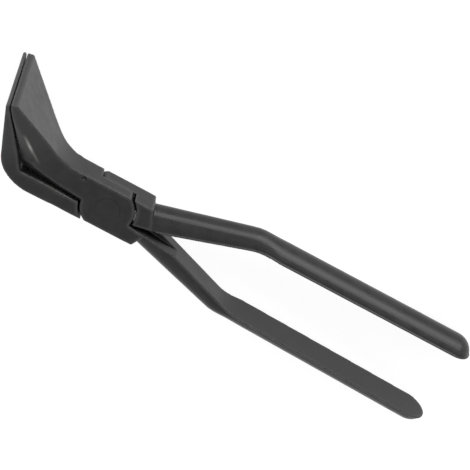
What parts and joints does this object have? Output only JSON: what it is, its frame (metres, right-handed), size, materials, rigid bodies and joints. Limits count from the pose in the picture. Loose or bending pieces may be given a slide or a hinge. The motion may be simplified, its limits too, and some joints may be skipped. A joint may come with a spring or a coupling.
{
  "type": "bending pliers",
  "caption": "Hand pliers for folding sheet metal, with wide flat jaws set at 45 degrees to two long bowed handles and a riveted lap joint.",
  "frame": {"origin": "on the rivet's axis, in the plane of the joint's lower flat face", "axes": "+X along the handles, away from the mouth; +Y the way the mouth points; +Z along the rivet's axis, from the outer jaw's plate to the inner jaw's plate"},
  "size_m": [0.285, 0.0726, 0.0607],
  "materials": {
    "outer_arm_steel": "satin black oxide on drop-forged steel",
    "inner_arm_steel": "satin black oxide on drop-forged steel",
    "rivet_steel": "ground flush and blackened"
  },
  "bodies": {
    "inner_arm": {"inner_jaw_arm": "inner_arm_steel", "pivot_rivet": "rivet_steel"},
    "outer_arm": {"outer_jaw_arm": "outer_arm_steel"}
  },
  "joints": [
    {"name": "jaw_pivot", "type": "hinge", "parent": "inner_arm", "child": "outer_arm", "pos_m": [0, 0, 0.00785], "axis": [0, 0, 1], "range_deg": [0, 70]}
  ]
}
